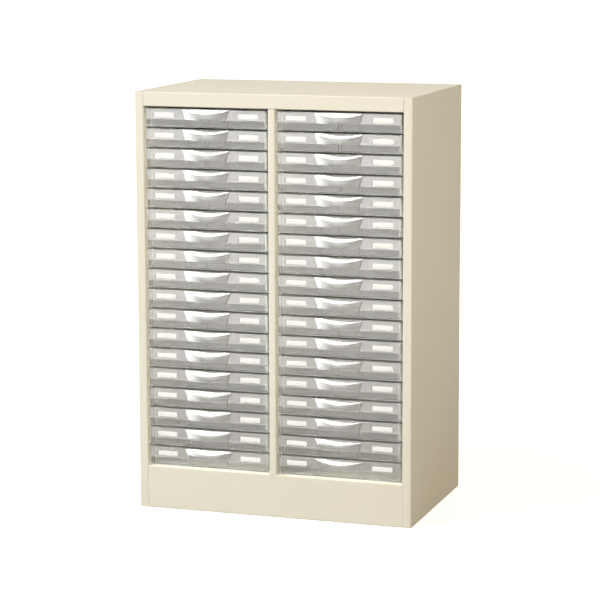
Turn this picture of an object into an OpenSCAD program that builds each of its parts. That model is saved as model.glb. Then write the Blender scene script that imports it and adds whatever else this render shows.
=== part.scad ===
// Floor-standing document cabinet: a folded sheet-steel case with two columns of
// shallow clear plastic trays that slide on steel angle runners.
// Millimetres. +Z is up, the front faces -Y, and the origin is on the floor
// under the middle of the overall box.

/* [Cabinet] */
// Outside width of the steel case
cabinet_w = 596; // [540:1:680]
// Depth of the steel case, from the front of the stiles to the back panel
cabinet_d = 380; // [340:1:460]
// Height of the steel case
cabinet_h = 880; // [800:1:1000]
// Thickness of the sheet steel
sheet_t = 1; // [0.8:0.1:1.5]
// Bend radius of the sheet steel, at the middle of its thickness
bend_r = 2; // [1.5:0.1:3]
// Width of the stile at each side of the front
stile_w = 19; // [16:0.5:26]
// Depth of the return behind a stile, the top rail and the kick plate
front_return = 18; // [12:1:24]
// Height of the rail over the drawers
top_rail_h = 30; // [24:1:48]
// Height of the kick plate under the drawers
base_h = 90; // [60:1:120]
// Width of the middle partition
partition_w = 15; // [10:0.5:24]
// Width of the flanges that carry the back panel
rear_flange = 16; // [14:1:24]

/* [Runners] */
// Width of the ledge that a drawer slides on
ledge_w = 12; // [9:0.5:18]
// Height of the runner's upright leg
leg_h = 14; // [8:0.5:18]
// Gap between a drawer and what guides or stops it
slide_clear = 0.25; // [0.1:0.05:0.5]
// Height of the stop at a runner's rear end
stop_h = 12; // [6:1:20]
// Gap between a drawer's rim and the uprights beside it
guide_gap = 0.75; // [0.25:0.05:1]
// Uprights on each wall that carry the runners
upright_count = 3; // [2:1:4]
// Width of an upright
upright_w = 30; // [20:1:50]
// Distance from the front of the case to the first upright
upright_front = 122; // [40:1:130]
// Distance from one upright to the next
upright_step = 66; // [56:1:70]

/* [Drawers] */
// Drawers in each column
rows = 18; // [12:1:20]
// Gap between one drawer front and the next
drawer_gap = 4; // [3:0.5:6]
// Gap between a drawer front and the stile beside it
side_gap = 4.75; // [4.25:0.25:7]
// How far the drawer fronts sit behind the stiles
front_recess = 2; // [0:0.5:6]
// Space between the back of a drawer and the back panel
rear_space = 31; // [10:1:60]
// Thickness of a drawer's walls
wall = 1.8; // [1.4:0.1:2.4]
// Thickness of a drawer's floor
floor_t = 2; // [1.6:0.1:2.6]
// Width of the rim along the top of a drawer's sides
rim_w = 3; // [2:0.5:4]
// Thickness of that rim
rim_t = 1.6; // [1.2:0.1:2.4]
// How far the sides stop below the top of the front
side_drop = 1.5; // [1:0.5:4]
// Radius of a drawer's upright corners
corner_r = 6; // [4:0.5:12]

/* [Drawer front] */
// Height of the label strip across the top of a drawer front
strip_h = 22; // [20:0.5:24]
// Distance from the face of the label strip to the wall behind it
channel_d = 7; // [5:0.5:10]
// How far the lip at the foot of a front stands behind the strip's face
lip_recess = 0.5; // [0.5:0.5:4]
// Width of the pull at its top
pull_top_w = 104; // [96:1:112]
// Width of the pull at its foot
pull_foot_w = 88; // [76:1:92]
// Distance from the strip's face to the axis of the pull's round front
pull_axis = 160; // [130:1:200]
// How far the pull stands out at the top of its sides
pull_edge = 0.8; // [0.4:0.1:1.6]
// Height of the pull's sloping top at the middle
pull_slope_h = 10; // [7:0.5:13]
// Thickness of the pull
pull_t = 2; // [1.6:0.1:2.6]
// Distance between the pairs of ribs on the front wall
rib_step = 42.5; // [36:0.5:56]
// Distance between the two ribs of a pair
rib_pair = 6.2; // [4:0.1:8]
// Thickness of a rib
rib_t = 1.2; // [1:0.1:2]
// Depth of a rib
rib_d = 2; // [1:0.5:3]

/* [Label cards] */
// Width of the window in front of a label card
window_w = 44.5; // [30:0.5:48]
// Height of that window
window_h = 9.8; // [7:0.1:10]
// Distance from a drawer front's end to its window
window_inset = 16.5; // [10:0.5:20]
// Distance from a drawer front's top to its window
window_drop = 8.6; // [7:0.1:9]
// How far a label card reaches past each edge of its window
card_lap = 1.2; // [0.6:0.1:1.4]
// Thickness of a label card
card_t = 0.5; // [0.3:0.1:0.8]
// Width of the rib at each end of a card and of the ledge under it
card_rib = 1.2; // [0.8:0.1:1.4]
// Depth of those ribs and that ledge
card_hold = 1.4; // [1.1:0.1:2]
// Gap around a card in its holder
card_clear = 0.1; // [0.05:0.05:0.3]

/* [Fixings] */
// Screws along each side of the back panel
screw_rows = 5; // [3:1:8]
// Radius of a screw's shank
screw_r = 2; // [1.5:0.25:3]
// Radius of a screw's head
screw_head_r = 4; // [3.5:0.25:6]
// Height of a screw's head
screw_head_h = 2.4; // [1.5:0.1:4]
// Length of a screw under its head
screw_l = 8; // [5:1:14]
// Length of the cross recess in a screw's head
recess_l = 4.4; // [3:0.1:5]
// Width of the cross recess
recess_w = 1; // [0.6:0.1:1.4]
// Depth of the cross recess
recess_d = 1.4; // [0.8:0.1:1.4]
// Gap around a screw in the sheets that it holds
screw_clear = 0.1; // [0.05:0.05:0.3]

/* [Hidden] */
COLUMNS = ["left", "right"];
SIDES = ["outer", "inner"];
IVORY = [0.89, 0.87, 0.79];
RUNNER_STEEL = [0.74, 0.74, 0.72];
SCREW_STEEL = [0.66, 0.66, 0.65];
CLEAR_PLASTIC = [0.82, 0.83, 0.82, 0.5];
PAPER = [0.98, 0.98, 0.96];
ROUND = 96;
// Overlap that makes a cut pass through its face
CUT = 1;

// Radius of the pull's round front, and how far it stands out at the middle
pull_r = norm([pull_axis + pull_edge, pull_top_w / 2]);
pull_proud = pull_r - pull_axis;
// Run of the sloping top for each millimetre that it drops
pull_slope = pull_proud / pull_slope_h;
// Run of the pull's sides for each millimetre that they rise
pull_lean = (pull_top_w - pull_foot_w) / 2 / strip_h;

overall_d = cabinet_d + max(0, pull_proud - front_recess) + screw_head_h;
front_y = -overall_d / 2 + max(0, pull_proud - front_recess);
back_y = front_y + cabinet_d;
rear_skin_y = back_y - sheet_t;
half_w = cabinet_w / 2;
opening_w = half_w - stile_w - partition_w / 2;
opening_top = cabinet_h - top_rail_h;
pitch = (opening_top - base_h - drawer_gap) / rows;
front_w = opening_w - 2 * side_gap;
front_h = pitch - drawer_gap;
body_w = front_w - 2 * rim_w;
drawer_y = front_y + front_recess;
drawer_l = cabinet_d - sheet_t - front_recess - rear_space;
ledge_y = front_y + front_return + sheet_t;
upright_proud = side_gap - guide_gap;
ledge_end_y = drawer_y + drawer_l + slide_clear + sheet_t;
strip_foot = front_h - strip_h;
body_h = front_h - side_drop;
wall_y = channel_d;
card_w = window_w + 2 * card_lap;
card_h = window_h + 2 * card_lap;
screw_x = half_w - sheet_t - rear_flange / 2;
screw_low = base_h / 2;
screw_step = (opening_top - base_h) / (screw_rows - 1);

function two_digits(n) = str(n < 10 ? "0" : "", n);
function drawer_name(column, row) = str("drawer_", COLUMNS[column], "_", two_digits(row));
function runner_name(column, side) = str(COLUMNS[column], "_", SIDES[side], "_runners");
function upright_name(column, side) = str(COLUMNS[column], "_", SIDES[side], "_uprights");
// The outward direction of a column, and the middle of its opening
function outward(column) = column == 0 ? -1 : 1;
function column_x(column) = outward(column) * (partition_w / 2 + opening_w / 2);
// The direction into a column from its outer or inner edge, and the place of that edge
function toward(column, side) = (side == 0 ? -1 : 1) * outward(column);
function edge_x(column, side) = column_x(column) - toward(column, side) * opening_w / 2;
// Height of the underside of a drawer: row 1 is the top one
function drawer_z(row) = opening_top - row * pitch;
function unit(v) = v / norm(v);

// Section of folded sheet along a path of square corners, with rounded bends.
module folded(path) {
    last = len(path) - 1;
    for (i = [0 : last - 1]) {
        along = unit(path[i + 1] - path[i]);
        start = path[i] + (i > 0 ? bend_r : 0) * along;
        end = path[i + 1] - (i + 1 < last ? bend_r : 0) * along;
        side = sheet_t / 2 * [-along[1], along[0]];
        polygon([start - side, end - side, end + side, start + side]);
    }
    for (i = [1 : last - 1]) {
        a = unit(path[i] - path[i - 1]);
        b = unit(path[i + 1] - path[i]);
        centre = path[i] - bend_r * a + bend_r * b;
        reach = bend_r + sheet_t;
        intersection() {
            translate(centre) difference() {
                circle(r = bend_r + sheet_t / 2, $fn = ROUND);
                circle(r = bend_r - sheet_t / 2, $fn = ROUND);
            }
            polygon([centre, centre + reach * a, centre + reach * (a - b), centre - reach * b]);
        }
    }
}

// A section in Y and Z drawn along X, from x0 to x1.
module along_x(x0, x1) {
    translate([x0, 0, 0]) rotate([90, 0, 90]) linear_extrude(x1 - x0) children();
}

// A section in X and Z drawn along Y, from y0 to y1.
module along_y(y0, y1) {
    translate([0, y1, 0]) rotate([90, 0, 0]) linear_extrude(y1 - y0) children();
}

module block(low, high) {
    translate(low) cube(high - low);
}

// A plate with round upright corners.
module rounded_block(low, high, r) {
    block([low[0] + r, low[1], low[2]], [high[0] - r, high[1], high[2]]);
    block([low[0], low[1] + r, low[2]], [high[0], high[1] - r, high[2]]);
    for (x = [low[0] + r, high[0] - r], y = [low[1] + r, high[1] - r])
        translate([x, y, low[2]]) cylinder(r = r, h = high[2] - low[2], $fn = ROUND);
}

module screw_places() {
    for (side = [-1, 1], i = [0 : screw_rows - 1])
        translate([side * screw_x, back_y, screw_low + i * screw_step]) rotate([-90, 0, 0]) children();
}

module screw_holes() {
    screw_places() translate([0, 0, -screw_l - CUT])
        cylinder(r = screw_r + screw_clear, h = screw_l + 2 * CUT, $fn = ROUND);
}

// Side of the case: skin, stile with its return, and the flange for the back panel.
module side_panel(side) {
    skin = side * (half_w - sheet_t / 2);
    inner = side * (half_w - stile_w + sheet_t / 2);
    face = front_y + sheet_t / 2;
    rear = rear_skin_y - sheet_t / 2;
    color(IVORY) difference() {
        linear_extrude(cabinet_h - sheet_t) folded([
            [inner, front_y + front_return], [inner, face], [skin, face], [skin, rear],
            [skin - side * rear_flange, rear]]);
        screw_holes();
    }
}

// Top of the case, with the rail over the drawers and its return.
module top_panel() {
    corner = bend_r + sheet_t / 2;
    rail = half_w - stile_w;
    lid = cabinet_h - sheet_t / 2;
    face = front_y + sheet_t / 2;
    foot = opening_top + sheet_t / 2;
    color(IVORY) {
        difference() {
            rounded_block([-half_w, front_y, cabinet_h - sheet_t], [half_w, back_y, cabinet_h], corner);
            block([-rail, front_y - CUT, opening_top], [rail, front_y + corner, cabinet_h + CUT]);
        }
        along_x(-rail, rail) folded([
            [front_y + front_return, lid], [face, lid], [face, foot], [front_y + front_return, foot]]);
    }
}

// Plinth front between the stiles, folded back at its top and foot.
module kick_plate() {
    span = half_w - stile_w;
    face = front_y + sheet_t / 2;
    color(IVORY) along_x(-span, span) folded([
        [front_y + front_return, base_h - sheet_t / 2], [face, base_h - sheet_t / 2],
        [face, sheet_t / 2], [front_y + front_return, sheet_t / 2]]);
}

// Deck under the drawers, with a tongue under the kick plate's top return.
module bottom_panel() {
    inside = half_w - sheet_t;
    span = half_w - stile_w;
    under = base_h - sheet_t;
    color(IVORY) {
        block([-inside, front_y + front_return, under - sheet_t], [inside, rear_skin_y - sheet_t, under]);
        block([-span, front_y + bend_r + sheet_t, under - sheet_t], [span, front_y + front_return, under]);
    }
}

module back_panel() {
    color(IVORY) difference() {
        block([-half_w, rear_skin_y, 0], [half_w, back_y, cabinet_h - sheet_t]);
        screw_holes();
    }
}

// Folded channel between the columns, notched for the rail and the kick plate.
module centre_partition() {
    skin = partition_w / 2 - sheet_t / 2;
    face = front_y + sheet_t / 2;
    notch_y = front_y + front_return;
    color(IVORY) difference() {
        translate([0, 0, base_h - sheet_t]) linear_extrude(cabinet_h - base_h)
            folded([[-skin, rear_skin_y], [-skin, face], [skin, face], [skin, rear_skin_y]]);
        block([-partition_w, front_y - CUT, base_h - sheet_t - CUT], [partition_w, notch_y, base_h]);
        block([-partition_w, front_y - CUT, opening_top], [partition_w, notch_y, cabinet_h]);
    }
}

// Channels on a side panel or the partition, which guide the drawers and carry the runners.
module uprights(column, side) {
    root = side == 0 ? outward(column) * (half_w - sheet_t) : edge_x(column, side);
    face = edge_x(column, side) + toward(column, side) * (upright_proud - sheet_t / 2);
    near = sheet_t / 2;
    far = upright_w - sheet_t / 2;
    color(IVORY) for (i = [0 : upright_count - 1])
        translate([0, front_y + upright_front + i * upright_step, base_h - sheet_t])
            linear_extrude(cabinet_h - base_h)
                folded([[root, near], [face, near], [face, far], [root, far]]);
}

// One angle runner, with its ledge under a drawer and a stop behind it.
// inward is the direction of the drawer from the runner.
module runner(wall_x, inward, z) {
    top = z - slide_clear;
    mid = top - sheet_t / 2;
    leg = wall_x + inward * sheet_t / 2;
    tip = wall_x + inward * ledge_w;
    stop_x = [tip, leg + inward * 2 * bend_r];
    along_y(ledge_y, ledge_end_y) folded([[leg, top - sheet_t + leg_h], [leg, mid], [tip, mid]]);
    block([min(stop_x), ledge_end_y - sheet_t, mid], [max(stop_x), ledge_end_y, top + stop_h]);
}

module runners(column, side) {
    inward = toward(column, side);
    wall_x = edge_x(column, side) + inward * upright_proud;
    color(RUNNER_STEEL) for (row = [1 : rows]) runner(wall_x, inward, drawer_z(row));
}

// The pull's outside, made smaller by inset, from its foot to its sloping top.
module pull_form(inset, behind) {
    drop = inset * norm([1, 1 / pull_slope]);
    narrow = inset * norm([1, pull_lean]);
    reach = pull_proud + CUT;
    foot = pull_foot_w / 2 - narrow;
    top = pull_top_w / 2 - narrow;
    intersection() {
        translate([0, pull_axis, strip_foot]) cylinder(r = pull_r - inset, h = strip_h, $fn = 4 * ROUND);
        along_x(-pull_top_w, pull_top_w) polygon([
            [behind, strip_foot], [-reach, strip_foot], [-reach, front_h - drop - reach / pull_slope],
            [0, front_h - drop], [behind, front_h - drop]]);
        along_y(-reach, behind) polygon([
            [-foot, strip_foot], [foot, strip_foot], [top, front_h], [-top, front_h]]);
    }
}

// The two places of a label card, as the centre of its window on the strip's back face.
module card_places() {
    for (side = [-1, 1])
        translate([side * (front_w / 2 - window_inset - window_w / 2), wall,
            front_h - window_drop - window_h / 2]) children();
}

module card_window() {
    block([-window_w / 2, -wall - CUT, -window_h / 2], [window_w / 2, card_clear, window_h / 2]);
}

// Ribs and ledge behind the label strip, around one card.
module card_holder() {
    half = card_w / 2 + card_clear;
    foot = -card_h / 2 - card_clear;
    for (side = [-1, 1])
        translate([side * (half + card_rib / 2), card_hold / 2, 0])
            cube([card_rib, card_hold, card_h], center = true);
    block([-half - card_rib, 0, foot - card_rib], [half + card_rib, card_hold, foot]);
}

module label_card() {
    translate([0, card_clear + card_t / 2, 0]) cube([card_w, card_t, card_h], center = true);
}

// Pairs of ribs that stiffen the front wall, in the space behind the label strip.
module wall_ribs() {
    for (i = [-1 : 1], side = [-1, 1])
        translate([i * rib_step + side * rib_pair / 2, wall_y - rib_d / 2 + wall / 2, front_h / 2])
            cube([rib_t, rib_d + wall, front_h - floor_t], center = true);
}

// Front of a drawer: label strip, top, lip, end webs and the wall behind.
module drawer_front() {
    half = front_w / 2;
    block([-half, 0, strip_foot], [half, wall, front_h]);
    block([-half, 0, front_h - wall], [half, wall_y + wall, front_h]);
    block([-half, wall_y, 0], [half, wall_y + wall, front_h]);
    block([-half, lip_recess, 0], [half, wall_y + wall, floor_t]);
    for (side = [-1, 1]) {
        edge = [side * half, side * (half - wall)];
        block([min(edge), lip_recess, 0], [max(edge), wall_y + wall, front_h]);
        block([min(edge), 0, strip_foot], [max(edge), wall_y + wall, front_h]);
    }
    wall_ribs();
    card_places() card_holder();
}

// Tray behind the front: floor, walls and a rim along the sides and the back.
module drawer_body() {
    half = body_w / 2;
    difference() {
        union() {
            rounded_block([-half, wall_y, 0], [half, drawer_l, body_h], corner_r);
            rounded_block([-half - rim_w, wall_y, body_h - rim_t], [half + rim_w, drawer_l, body_h],
                corner_r);
        }
        rounded_block([-half + wall, wall_y + wall, floor_t], [half - wall, drawer_l - wall, front_h + CUT],
            corner_r - wall);
    }
}

// A drawer with its two label cards, which are separate pieces.
module drawer(column, row) {
    translate([column_x(column), drawer_y, drawer_z(row)]) {
        color(CLEAR_PLASTIC) difference() {
            union() {
                drawer_body();
                drawer_front();
                pull_form(0, wall);
            }
            pull_form(pull_t, wall + CUT / 2);
            card_places() card_window();
        }
        color(PAPER) card_places() label_card();
    }
}

module screw() {
    difference() {
        union() {
            translate([0, 0, -screw_l]) cylinder(r = screw_r, h = screw_l, $fn = ROUND);
            cylinder(r1 = screw_head_r, r2 = screw_head_r - screw_head_h / 2, h = screw_head_h, $fn = ROUND);
        }
        for (turn = [0, 90])
            rotate(turn) translate([0, 0, screw_head_h])
                cube([recess_l, recess_w, 2 * recess_d], center = true);
    }
}

module back_panel_screws() {
    color(SCREW_STEEL) screw_places() screw();
}

side_panel(-1);  // left_side_panel
side_panel(1);  // right_side_panel
top_panel();
kick_plate();
bottom_panel();
back_panel();
centre_partition();
back_panel_screws();
for (c = [0, 1], s = [0, 1]) {
    uprights(c, s);
    runners(c, s);
}
for (c = [0, 1], r = [1 : rows]) {
    drawer(c, r);
}
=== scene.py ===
"""Looks, labels, stage and camera for a steel cabinet with clear drawers."""
import math
from typing import NamedTuple

import bmesh
import bpy
from bpy.props import FloatProperty, FloatVectorProperty, PointerProperty
from mathutils import Matrix, Vector


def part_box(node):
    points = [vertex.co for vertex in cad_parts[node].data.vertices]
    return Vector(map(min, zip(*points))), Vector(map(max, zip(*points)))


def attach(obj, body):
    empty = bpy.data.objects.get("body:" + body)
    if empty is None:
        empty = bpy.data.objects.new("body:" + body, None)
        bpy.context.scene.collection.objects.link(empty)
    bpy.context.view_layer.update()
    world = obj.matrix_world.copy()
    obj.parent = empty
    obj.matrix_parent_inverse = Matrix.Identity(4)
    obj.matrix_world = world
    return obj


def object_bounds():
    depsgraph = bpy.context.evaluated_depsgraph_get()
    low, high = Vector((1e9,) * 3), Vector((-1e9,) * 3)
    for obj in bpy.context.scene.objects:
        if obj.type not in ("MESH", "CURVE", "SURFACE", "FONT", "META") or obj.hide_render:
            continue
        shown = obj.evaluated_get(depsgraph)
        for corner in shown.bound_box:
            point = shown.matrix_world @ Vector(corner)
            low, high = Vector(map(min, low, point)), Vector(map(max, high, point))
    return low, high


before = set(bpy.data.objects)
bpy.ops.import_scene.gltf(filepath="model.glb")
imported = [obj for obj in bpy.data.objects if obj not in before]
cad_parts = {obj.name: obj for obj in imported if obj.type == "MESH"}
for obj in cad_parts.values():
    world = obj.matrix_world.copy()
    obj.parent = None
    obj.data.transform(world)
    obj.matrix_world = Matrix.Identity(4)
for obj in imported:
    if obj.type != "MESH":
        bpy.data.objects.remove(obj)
CAD_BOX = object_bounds()

bl_info = {
    "name": "Document drawer cabinet",
    "version": (1, 0, 0),
    "blender": (4, 5, 0),
    "location": "View3D > Sidebar > Cabinet",
    "description": "Paints a steel drawer cabinet, dresses its clear drawers and sets a studio round it",
    "category": "Object",
}

MM = 0.001
WHITE = (1, 1, 1)
MIDDLE = (CAD_BOX[0] + CAD_BOX[1]) / 2

DRAWERS = sorted(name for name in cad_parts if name.startswith("drawer_"))
RUNNERS = sorted(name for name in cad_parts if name.endswith("_runners"))
SCREWS = ["back_panel_screws"]
CASE = sorted(set(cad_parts) - set(DRAWERS) - set(RUNNERS) - set(SCREWS))

# From the face of a drawer's label strip to the drawer's rear end
DRAWER_LENGTH = 346 * MM
# Edges sharper than this angle are rounded, each in this many steps
SHARP_ANGLE = math.radians(40)
ROUND_STEPS = 3
# Nearly all values of a noise lie between these two
NOISE_LOW = 0.3
NOISE_HIGH = 0.7
# A ray may have to cross the walls of many clear drawers
BOUNCES = 32


class Lamp(NamedTuple):
    """Where a lamp hangs, what it points at, its size, its spread, and the kinds of ray that miss it"""

    place: tuple
    aim: tuple
    size: tuple
    spread: float = math.pi
    unseen_by: tuple = ()


# The panels only show as reflections. A narrow spread keeps one to the faces that are turned towards it.
PANEL_RAYS = ("camera", "diffuse", "transmission")
LAMPS = {
    "key_light": Lamp((-2.8, -2.6, 3.1), MIDDLE, (1.6, 1.6)),
    "fill_light": Lamp((1.7, -1.6, 2.5), MIDDLE, (1.2, 1.2)),
    "front_light": Lamp((1.9, -3.4, 1.9), MIDDLE, (1.2, 1.2)),
    "back_light": Lamp((-0.6, 3.4, 1.0), MIDDLE, (1.5, 1.5), unseen_by=("camera", "glossy")),
    "roof_panel": Lamp((-0.9, -0.85, 2.9), (-0.9, -0.5, 0), (2.8, 1.2), unseen_by=PANEL_RAYS),
    "board_panel": Lamp(
        (-0.387, -0.59, 0.45), (0.41, -0.011, 0.624), (0.62, 0.88), math.radians(52), PANEL_RAYS
    ),
    "sheet_panel": Lamp(
        (-0.165, -0.6, 0.43), (0.16, 0.345, 0.395), (0.68, 0.86), math.radians(40), PANEL_RAYS
    ),
}


def colour_property(name, description, default):
    return FloatVectorProperty(
        name=name, description=description, default=default, size=3, subtype="COLOR", min=0, max=1
    )


def length_property(name, description, default):
    return FloatProperty(
        name=name, description=description, default=default, min=0, unit="LENGTH", precision=5
    )


def share_property(name, description, default):
    return FloatProperty(
        name=name, description=description, default=default, min=0, max=1, subtype="FACTOR"
    )


def level_property(name, description, default):
    return FloatProperty(name=name, description=description, default=default, min=0)


def power_property(name, description, default):
    return FloatProperty(name=name, description=description, default=default, min=0, unit="POWER")


def angle_property(name, description, degrees):
    return FloatProperty(
        name=name, description=description, default=math.radians(degrees), subtype="ANGLE"
    )


class CasePaint(bpy.types.PropertyGroup):
    """Ivory paint of the case"""

    light: colour_property("Light", "Lighter tone of the ivory paint", (0.815, 0.79, 0.685))
    shade: colour_property("Shade", "Deeper tone of the ivory paint", (0.785, 0.76, 0.65))
    clouds: level_property("Clouds", "Clouds of the two tones to a metre", 3)
    glossiest: share_property("Glossiest", "Roughness where the paint is glossiest", 0.42)
    dullest: share_property("Dullest", "Roughness where the paint is dullest", 0.55)
    grain: length_property("Grain", "Size of the paint's orange peel", 1.6 * MM)
    depth: length_property("Depth", "Depth of the orange peel", 0.05 * MM)
    gloss: share_property("Gloss", "Strength of the paint's reflections", 0.25)


class RunnerPaint(bpy.types.PropertyGroup):
    """Paint of the runners inside the case"""

    light: colour_property("Light", "Lighter tone of the runners", (0.72, 0.70, 0.62))
    shade: colour_property("Shade", "Deeper tone of the runners", (0.64, 0.62, 0.54))
    clouds: level_property("Clouds", "Clouds of the two tones to a metre", 12)
    glossiest: share_property("Glossiest", "Roughness where the paint is glossiest", 0.4)
    dullest: share_property("Dullest", "Roughness where the paint is dullest", 0.55)
    grain: length_property("Grain", "Size of the paint's orange peel", 2 * MM)
    depth: length_property("Depth", "Depth of the orange peel", 0.03 * MM)


class ScrewZinc(bpy.types.PropertyGroup):
    """Zinc plate of the back panel's screws"""

    light: colour_property("Light", "Bright zinc plate", (0.60, 0.60, 0.58))
    shade: colour_property("Shade", "Duller zinc plate", (0.42, 0.42, 0.41))
    clouds: level_property("Clouds", "Clouds of the two tones to a metre", 150)
    glossiest: share_property("Glossiest", "Roughness where the zinc is glossiest", 0.28)
    dullest: share_property("Dullest", "Roughness where the zinc is dullest", 0.45)
    grain: length_property("Grain", "Size of the zinc's grain", 0.8 * MM)
    depth: length_property("Depth", "Depth of the grain", 0.02 * MM)


class DrawerPlastic(bpy.types.PropertyGroup):
    """Clear plastic of the drawers"""

    light: colour_property("Light", "Lighter tone of the clear plastic", (0.86, 0.85, 0.83))
    shade: colour_property("Shade", "Deeper tone of the clear plastic", (0.81, 0.80, 0.78))
    clouds: level_property("Clouds", "Clouds of the two tones to a metre", 9)
    glossiest: share_property("Glossiest", "Roughness where the plastic is glossiest", 0.05)
    dullest: share_property("Dullest", "Roughness where the plastic is dullest", 0.10)
    grain: length_property("Grain", "Size of the waves in the moulded walls", 12 * MM)
    depth: length_property("Depth", "Depth of the waves", 0.02 * MM)
    clearness: share_property("Clearness", "Share of light that passes through the plastic", 0.93)
    bend: FloatProperty(
        name="Bend", description="Index of refraction of the plastic", default=1.5, min=1, max=2
    )
    passes: colour_property("Passes", "Lamp light that a face lets through", (0.94, 0.94, 0.93))
    polish: share_property("Polish", "Clear coat on the strips and pulls at the front", 1)
    polish_rough: share_property("Polish roughness", "Roughness of that coat", 0.08)
    polish_depth: length_property("Polish depth", "How far behind the front the polish ends", 3 * MM)
    edge: length_property("Edge", "Radius of the moulded edges", 0.5 * MM)
    weld: length_property("Weld", "Corners nearer than this are joined before rounding", 0.01 * MM)


class LabelPaper(bpy.types.PropertyGroup):
    """White paper of the labels, and where it sits"""

    light: colour_property("Light", "White of the labels", (0.93, 0.93, 0.915))
    shade: colour_property("Shade", "Fibres in the paper", (0.88, 0.88, 0.865))
    clouds: level_property("Clouds", "Clouds of the two tones to a metre", 60)
    glossiest: share_property("Glossiest", "Roughness where the paper is smoothest", 0.75)
    dullest: share_property("Dullest", "Roughness where the paper is dullest", 0.9)
    grain: length_property("Grain", "Size of the paper's tooth", 0.5 * MM)
    depth: length_property("Depth", "Depth of the tooth", 0.02 * MM)
    window_w: length_property("Window width", "Width of a label window", 44.5 * MM)
    window_h: length_property("Window height", "Height of a label window", 9.8 * MM)
    label_w: length_property("Label width", "Width of the white label on a card", 43 * MM)
    label_h: length_property("Label height", "Height of that label", 9.4 * MM)
    thickness: length_property("Thickness", "Thickness of a card", 0.5 * MM)
    cover: length_property("Cover", "How far the label stands off its card", 0.06 * MM)
    inset: length_property("Inset", "From a drawer front's end to its window", 16.5 * MM)
    drop: length_property("Drop", "From a drawer front's top to its window", 8.6 * MM)
    back: length_property("Back", "From the strip's face to the card", 1.9 * MM)
    corner: length_property("Corner", "Radius of a label's corners", 0.8 * MM)


class Studio(bpy.types.PropertyGroup):
    """Floor, light and camera"""

    floor: colour_property("Floor", "Pale floor", (0.57, 0.57, 0.57))
    floor_rough: share_property("Floor roughness", "Roughness of the floor", 0.9)
    floor_reach: length_property("Floor reach", "From the cabinet to the edges of the floor", 20)
    near_glow: share_property("Near glow", "White that the camera sees in the floor near by", 0.7)
    far_glow: share_property("Far glow", "White that is seen in the floor farther away", 1)
    near: length_property("Near", "Distance at which the glow starts to grow", 0.6)
    far: length_property("Far", "Distance at which the glow is full", 2.4)
    mirror_glow: share_property("Mirror glow", "White that is mirrored in the floor near by", 0.2)
    mirror_far: length_property("Mirror far", "Distance at which the mirrored glow is full", 4)
    surround: colour_property("Surround", "Soft light from all round", (1, 0.78, 0.45))
    surround_level: level_property("Surround level", "Level of that light", 0.295)
    key: colour_property("Key", "Colour of the light from the left", (0.87, 0.92, 1))
    key_power: power_property("Key power", "Power of that light", 143)
    fill: colour_property("Fill", "Colour of the light from the right", (1, 0.89, 0.72))
    fill_power: power_property("Fill power", "Power of that light", 26)
    front: colour_property("Front", "Colour of the low light in front", (1, 1, 1))
    front_power: power_property("Front power", "Power of that light", 22)
    back: colour_property("Back", "Colour of the light behind the cabinet", (1, 0.97, 0.93))
    back_power: power_property("Back power", "Power of that light", 40)
    roof_power: power_property("Roof power", "Panel that the pulls' tops mirror", 115)
    board_power: power_property("Board power", "Panel that the pulls' sides mirror", 1.3)
    sheet_power: power_property("Sheet power", "Panel that the flat fronts mirror", 0.34)
    eye: FloatVectorProperty(
        name="Eye", description="Where the camera stands", default=(1.5640, -4.6470, 1.2458),
        subtype="XYZ", unit="LENGTH",
    )
    turn: angle_property("Turn", "Camera's turn to the left", 18.63)
    tilt: angle_property("Tilt", "Camera's tilt down", 9.46)
    roll: angle_property("Roll", "Camera's roll", -0.18)
    lens: FloatProperty(name="Lens", description="Focal length", default=140.08, min=1, unit="CAMERA")
    sensor: FloatProperty(
        name="Sensor", description="Width of the camera's sensor", default=36, min=1, unit="CAMERA"
    )


class CabinetLook(bpy.types.PropertyGroup):
    """All that dresses the cabinet"""

    paint: PointerProperty(type=CasePaint)
    runner_paint: PointerProperty(type=RunnerPaint)
    zinc: PointerProperty(type=ScrewZinc)
    plastic: PointerProperty(type=DrawerPlastic)
    paper: PointerProperty(type=LabelPaper)
    studio: PointerProperty(type=Studio)


def add_node(tree, kind, **settings):
    """A new node with its settings"""
    node = tree.nodes.new(kind)
    for name, value in settings.items():
        setattr(node, name, value)
    return node


def object_place(tree):
    """A point's place in the cabinet"""
    return add_node(tree, "ShaderNodeTexCoord").outputs["Object"]


def surface_variation():
    """Node group: slow clouds and fine grain, from a point's place in the cabinet"""
    if "surface_variation" in bpy.data.node_groups:
        return bpy.data.node_groups["surface_variation"]
    group = bpy.data.node_groups.new("surface_variation", "ShaderNodeTree")
    start = add_node(group, "NodeGroupInput")
    end = add_node(group, "NodeGroupOutput")
    place = object_place(group)
    for name, detail in (("Cloud", 3), ("Grain", 2)):
        group.interface.new_socket(name + " Scale", in_out="INPUT", socket_type="NodeSocketFloat")
        group.interface.new_socket(name, in_out="OUTPUT", socket_type="NodeSocketFloat")
        noise = add_node(group, "ShaderNodeTexNoise")
        noise.inputs["Detail"].default_value = detail
        group.links.new(place, noise.inputs["Vector"])
        group.links.new(start.outputs[name + " Scale"], noise.inputs["Scale"])
        group.links.new(noise.outputs["Fac"], end.inputs[name])
    return group


def stretch(tree, source, low, high, start=NOISE_LOW, end=NOISE_HIGH):
    """A value that goes from low to high as the source goes from start to end"""
    node = add_node(tree, "ShaderNodeMapRange")
    for name, value in (("From Min", start), ("From Max", end), ("To Min", low), ("To Max", high)):
        node.inputs[name].default_value = value
    tree.links.new(source, node.inputs["Value"])
    return node.outputs["Result"]


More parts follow.
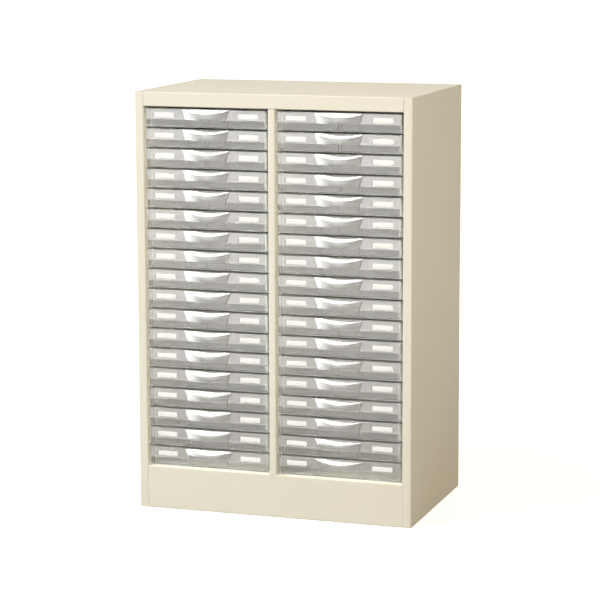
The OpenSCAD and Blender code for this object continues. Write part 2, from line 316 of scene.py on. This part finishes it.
def two_tones(tree, factor, light, shade):
    """A mix of two colours"""
    mix = add_node(tree, "ShaderNodeMix", data_type="RGBA")
    tones = [socket for socket in mix.inputs if socket.type == "RGBA"]
    for socket, colour in zip(tones, (light, shade)):
        socket.default_value = (*colour, 1)
    tree.links.new(factor, mix.inputs["Factor"])
    return next(socket for socket in mix.outputs if socket.type == "RGBA")


def join_values(tree, operation, first, second):
    """One value worked out from two"""
    node = add_node(tree, "ShaderNodeMath", operation=operation)
    tree.links.new(first, node.inputs[0])
    tree.links.new(second, node.inputs[1])
    return node.outputs["Value"]


def sight_rays(tree):
    """1 for the camera's own rays, and 1 for rays that reach it by reflection or through plastic"""
    rays = add_node(tree, "ShaderNodeLightPath").outputs
    mirrored = join_values(tree, "MAXIMUM", rays["Is Glossy Ray"], rays["Is Transmission Ray"])
    return rays["Is Camera Ray"], mirrored


def new_material(name):
    """A new material and its shader"""
    material = bpy.data.materials.new(name)
    material.use_nodes = True
    return material, material.node_tree.nodes["Principled BSDF"]


def finish_material(name, finish):
    """A material with clouded colour, uneven gloss and a fine relief, and its shader"""
    material, shader = new_material(name)
    tree = material.node_tree
    variation = add_node(tree, "ShaderNodeGroup", node_tree=surface_variation())
    variation.inputs["Cloud Scale"].default_value = finish.clouds
    variation.inputs["Grain Scale"].default_value = 1 / finish.grain
    cloud = stretch(tree, variation.outputs["Cloud"], 0, 1)
    tree.links.new(two_tones(tree, cloud, finish.light, finish.shade), shader.inputs["Base Color"])
    rough = stretch(tree, variation.outputs["Grain"], finish.glossiest, finish.dullest)
    tree.links.new(rough, shader.inputs["Roughness"])
    bump = add_node(tree, "ShaderNodeBump")
    bump.inputs["Distance"].default_value = finish.depth
    tree.links.new(variation.outputs["Grain"], bump.inputs["Height"])
    tree.links.new(bump.outputs["Normal"], shader.inputs["Normal"])
    return material, shader


def wear(nodes, material):
    """Give nodes of the frame one material"""
    for name in nodes:
        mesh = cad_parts[name].data
        mesh.materials.clear()
        mesh.materials.append(material)


def object_from(bm, name, material):
    """A new object in the scene from a finished bmesh"""
    mesh = bpy.data.meshes.new(name)
    bm.to_mesh(mesh)
    bm.free()
    mesh.materials.append(material)
    made = bpy.data.objects.new(name, mesh)
    bpy.context.scene.collection.objects.link(made)
    return made


def strip_face(drawer):
    """Y of the face of a drawer's label strip, which its pull stands in front of"""
    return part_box(drawer)[1].y - DRAWER_LENGTH


class CABINET_OT_case(bpy.types.Operator):
    """Paint the panels, the partition and the uprights of the case"""

    bl_idname = "cabinet.case"
    bl_label = "Paint case"

    def execute(self, context):
        paint = context.scene.cabinet_look.paint
        material, shader = finish_material("ivory_paint", paint)
        shader.inputs["Specular IOR Level"].default_value = paint.gloss
        wear(CASE, material)
        return {"FINISHED"}


class CABINET_OT_runners(bpy.types.Operator):
    """Paint the angle runners"""

    bl_idname = "cabinet.runners"
    bl_label = "Paint runners"

    def execute(self, context):
        material = finish_material("runner_paint", context.scene.cabinet_look.runner_paint)[0]
        wear(RUNNERS, material)
        return {"FINISHED"}


class CABINET_OT_screws(bpy.types.Operator):
    """Plate the back panel's screws"""

    bl_idname = "cabinet.screws"
    bl_label = "Plate screws"

    def execute(self, context):
        material, shader = finish_material("screw_zinc", context.scene.cabinet_look.zinc)
        shader.inputs["Metallic"].default_value = 1
        wear(SCREWS, material)
        return {"FINISHED"}


class CABINET_OT_drawers(bpy.types.Operator):
    """Give the drawers their clear plastic, polished at the front, with rounded edges"""

    bl_idname = "cabinet.drawers"
    bl_label = "Mould drawers"

    def execute(self, context):
        plastic = context.scene.cabinet_look.plastic
        material, shader = finish_material("clear_plastic", plastic)
        shader.inputs["Transmission Weight"].default_value = plastic.clearness
        shader.inputs["IOR"].default_value = plastic.bend
        self.polish_front(material.node_tree, shader, plastic)
        self.let_lamps_through(material.node_tree, shader, plastic)
        wear(DRAWERS, material)
        for name in DRAWERS:
            self.round_edges(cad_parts[name], plastic)
        return {"FINISHED"}

    def polish_front(self, tree, shader, plastic):
        """Coat the strips and pulls, and leave the walls behind them as they are"""
        along = add_node(tree, "ShaderNodeSeparateXYZ")
        tree.links.new(object_place(tree), along.inputs["Vector"])
        face = strip_face(DRAWERS[0])
        polish = stretch(tree, along.outputs["Y"], plastic.polish, 0, face, face + plastic.polish_depth)
        tree.links.new(polish, shader.inputs["Coat Weight"])
        shader.inputs["Coat Roughness"].default_value = plastic.polish_rough

    def let_lamps_through(self, tree, shader, plastic):
        """Let the lamps' light pass straight through the plastic into the case"""
        through = add_node(tree, "ShaderNodeBsdfTransparent")
        through.inputs["Color"].default_value = (*plastic.passes, 1)
        path = add_node(tree, "ShaderNodeLightPath")
        mix = add_node(tree, "ShaderNodeMixShader")
        tree.links.new(path.outputs["Is Shadow Ray"], mix.inputs["Fac"])
        tree.links.new(shader.outputs["BSDF"], mix.inputs[1])
        tree.links.new(through.outputs["BSDF"], mix.inputs[2])
        tree.links.new(mix.outputs["Shader"], tree.nodes["Material Output"].inputs["Surface"])

    def round_edges(self, drawer, plastic):
        """Join the solid's triangles and round the edges between its faces"""
        weld = drawer.modifiers.new("weld", "WELD")
        weld.merge_threshold = plastic.weld
        bevel = drawer.modifiers.new("edges", "BEVEL")
        bevel.width = plastic.edge
        bevel.segments = ROUND_STEPS
        bevel.limit_method = "ANGLE"
        bevel.angle_limit = SHARP_ANGLE
        bevel.use_clamp_overlap = False


class CABINET_OT_cards(bpy.types.Operator):
    """Put white labels round the two cards behind the windows of each drawer"""

    bl_idname = "cabinet.cards"
    bl_label = "Fit labels"

    def execute(self, context):
        paper = context.scene.cabinet_look.paper
        material = finish_material("label_paper", paper)[0]
        for name in DRAWERS:
            labels = self.cut_labels(name, paper)
            piece = object_from(labels, name.replace("drawer", "label_cards"), material)
            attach(piece, name)
        return {"FINISHED"}

    def cut_labels(self, drawer, paper):
        """The two labels of a drawer, with rounded corners"""
        low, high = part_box(drawer)
        size = Vector((paper.label_w, paper.thickness + 2 * paper.cover, paper.label_h))
        bm = bmesh.new()
        for end, side in ((low.x, 1), (high.x, -1)):
            centre = Vector((
                end + side * (paper.inset + paper.window_w / 2),
                strip_face(drawer) + paper.back + paper.thickness / 2,
                high.z - paper.drop - paper.window_h / 2,
            ))
            made = bmesh.ops.create_cube(bm, size=1)
            bmesh.ops.scale(bm, vec=size, verts=made["verts"])
            bmesh.ops.translate(bm, vec=centre, verts=made["verts"])
        corners = [edge for edge in bm.edges if abs((edge.verts[0].co - edge.verts[1].co).y) > size.y / 2]
        bmesh.ops.bevel(
            bm, geom=corners, offset=paper.corner, offset_type="OFFSET", affect="EDGES",
            segments=ROUND_STEPS, profile=0.5, material=-1,
        )
        return bm


class CABINET_OT_stage(bpy.types.Operator):
    """Set the floor, the lights, the surround and the camera"""

    bl_idname = "cabinet.stage"
    bl_label = "Set stage"

    def execute(self, context):
        scene = context.scene
        studio = scene.cabinet_look.studio
        self.lay_floor(studio)
        self.light_surround(scene, studio)
        self.hang_lamp("key_light", studio.key, studio.key_power)
        self.hang_lamp("fill_light", studio.fill, studio.fill_power)
        self.hang_lamp("front_light", studio.front, studio.front_power)
        self.hang_lamp("back_light", studio.back, studio.back_power)
        self.hang_lamp("roof_panel", WHITE, studio.roof_power)
        self.hang_lamp("board_panel", WHITE, studio.board_power)
        self.hang_lamp("sheet_panel", WHITE, studio.sheet_power)
        self.place_camera(scene, studio)
        scene.cycles.max_bounces = BOUNCES
        scene.cycles.transmission_bounces = BOUNCES
        scene.cycles.transparent_max_bounces = BOUNCES
        scene.view_settings.view_transform = "Standard"
        return {"FINISHED"}

    def lay_floor(self, studio):
        """Lay a wide pale floor that turns to white away from the cabinet"""
        material, shader = new_material("pale_floor")
        shader.inputs["Base Color"].default_value = (*studio.floor, 1)
        shader.inputs["Roughness"].default_value = studio.floor_rough
        shader.inputs["Emission Color"].default_value = (*WHITE, 1)
        glow = self.floor_glow(material.node_tree, studio)
        material.node_tree.links.new(glow, shader.inputs["Emission Strength"])
        bm = bmesh.new()
        bmesh.ops.create_grid(bm, x_segments=1, y_segments=1, size=studio.floor_reach)
        object_from(bm, "floor", material)

    def floor_glow(self, tree, studio):
        """White that lights nothing and grows with the distance from the cabinet, plain and mirrored"""
        distance = add_node(tree, "ShaderNodeVectorMath", operation="LENGTH")
        tree.links.new(object_place(tree), distance.inputs[0])
        away = distance.outputs["Value"]
        plain, mirrored = sight_rays(tree)
        plain_glow = stretch(tree, away, studio.near_glow, studio.far_glow, studio.near, studio.far)
        mirrored_glow = stretch(
            tree, away, studio.mirror_glow, studio.far_glow, studio.near, studio.mirror_far
        )
        seen = join_values(tree, "MULTIPLY", plain, plain_glow)
        reflected = join_values(tree, "MULTIPLY", mirrored, mirrored_glow)
        return join_values(tree, "ADD", seen, reflected)

    def light_surround(self, scene, studio):
        """Light the cabinet softly from all round, and show white to the camera and to reflections"""
        world = bpy.data.worlds.new("studio_surround")
        world.use_nodes = True
        scene.world = world
        tree = world.node_tree
        tree.nodes.clear()
        out = add_node(tree, "ShaderNodeOutputWorld")
        light = add_node(tree, "ShaderNodeBackground")
        light.inputs["Color"].default_value = (*studio.surround, 1)
        light.inputs["Strength"].default_value = studio.surround_level
        white = add_node(tree, "ShaderNodeBackground")
        white.inputs["Color"].default_value = (*WHITE, 1)
        mix = add_node(tree, "ShaderNodeMixShader")
        tree.links.new(join_values(tree, "MAXIMUM", *sight_rays(tree)), mix.inputs["Fac"])
        tree.links.new(light.outputs["Background"], mix.inputs[1])
        tree.links.new(white.outputs["Background"], mix.inputs[2])
        tree.links.new(mix.outputs["Shader"], out.inputs["Surface"])

    def hang_lamp(self, name, colour, power):
        """Hang one of the lamps of the list"""
        plan = LAMPS[name]
        lamp = bpy.data.lights.new(name, "AREA")
        lamp.color = colour
        lamp.energy = power
        lamp.shape = "RECTANGLE"
        lamp.size, lamp.size_y = plan.size
        lamp.spread = plan.spread
        hung = bpy.data.objects.new(name, lamp)
        bpy.context.scene.collection.objects.link(hung)
        hung.location = plan.place
        hung.rotation_mode = "QUATERNION"
        hung.rotation_quaternion = (Vector(plan.aim) - Vector(plan.place)).to_track_quat("-Z", "Y")
        for ray in plan.unseen_by:
            setattr(hung, "visible_" + ray, False)

    def place_camera(self, scene, studio):
        """Stand the camera at the photo's viewing angle"""
        lens = bpy.data.cameras.new("photo_camera")
        lens.sensor_width = studio.sensor
        lens.lens = studio.lens
        camera = bpy.data.objects.new("photo_camera", lens)
        scene.collection.objects.link(camera)
        turned = Matrix.Rotation(studio.turn, 4, "Z") @ Matrix.Rotation(math.pi / 2 - studio.tilt, 4, "X")
        rolled = turned @ Matrix.Rotation(studio.roll, 4, "Z")
        camera.matrix_world = Matrix.Translation(studio.eye) @ rolled
        scene.camera = camera


class CABINET_PT_look(bpy.types.Panel):
    """Everything that dresses the cabinet"""

    bl_idname = "CABINET_PT_look"
    bl_label = "Document cabinet"
    bl_space_type = "VIEW_3D"
    bl_region_type = "UI"
    bl_category = "Cabinet"

    def draw(self, context):
        look = context.scene.cabinet_look
        for operator, values in (
            (CABINET_OT_case, look.paint),
            (CABINET_OT_runners, look.runner_paint),
            (CABINET_OT_screws, look.zinc),
            (CABINET_OT_drawers, look.plastic),
            (CABINET_OT_cards, look.paper),
            (CABINET_OT_stage, look.studio),
        ):
            box = self.layout.box()
            box.operator(operator.bl_idname)
            for name in values.__annotations__:
                box.prop(values, name)


CLASSES = (
    CasePaint, RunnerPaint, ScrewZinc, DrawerPlastic, LabelPaper, Studio, CabinetLook,
    CABINET_OT_case, CABINET_OT_runners, CABINET_OT_screws, CABINET_OT_drawers, CABINET_OT_cards,
    CABINET_OT_stage, CABINET_PT_look,
)


def register():
    for cls in CLASSES:
        bpy.utils.register_class(cls)
    bpy.types.Scene.cabinet_look = PointerProperty(type=CabinetLook)


def unregister():
    del bpy.types.Scene.cabinet_look
    for cls in reversed(CLASSES):
        bpy.utils.unregister_class(cls)


def main():
    register()
    bpy.ops.cabinet.case()
    bpy.ops.cabinet.runners()
    bpy.ops.cabinet.screws()
    bpy.ops.cabinet.drawers()
    bpy.ops.cabinet.cards()
    bpy.ops.cabinet.stage()


if __name__ == "__main__":
    main()
